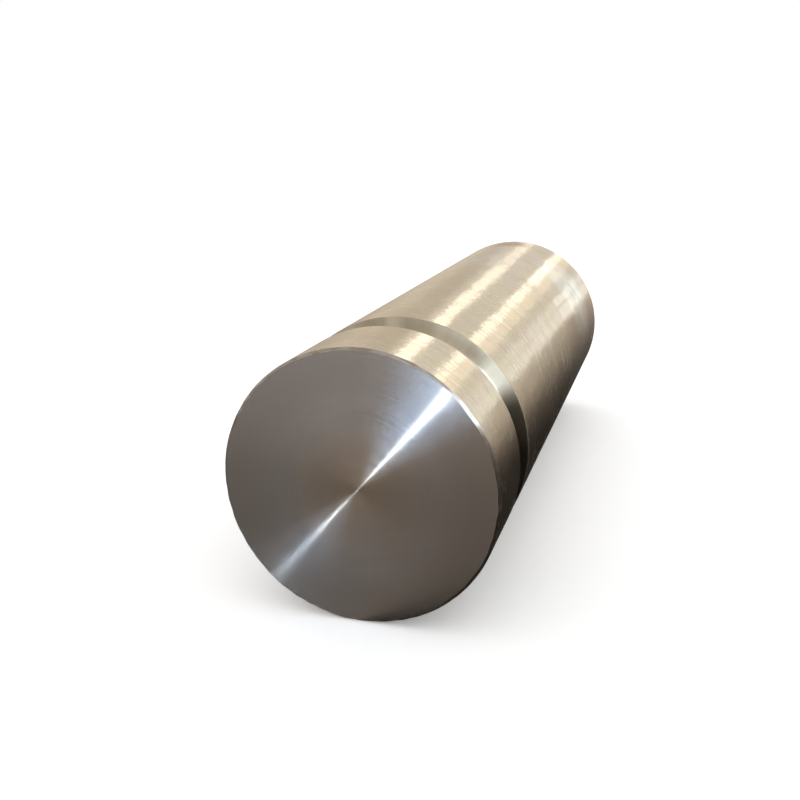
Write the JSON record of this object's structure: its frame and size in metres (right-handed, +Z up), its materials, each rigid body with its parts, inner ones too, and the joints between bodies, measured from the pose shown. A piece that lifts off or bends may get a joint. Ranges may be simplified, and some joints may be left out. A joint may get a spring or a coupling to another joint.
{
  "type": "round bar",
  "caption": "Short round bar of bright turned steel with faced, lightly chamfered ends and a shallow square groove round it near the front.",
  "frame": {"origin": "on the floor under the middle of the bar's length, with the bar lying on its side", "axes": "+Y along the bar, from the grooved front end to the plain rear end; +Z up; +X to the right of a viewer who faces the grooved front end"},
  "size_m": [0.05, 0.15, 0.05],
  "materials": {
    "bright_steel": "fine turned and ground, bright, with the marks running round the bar"
  },
  "bodies": {
    "root": {"round_bar": "bright_steel"}
  },
  "joints": []
}
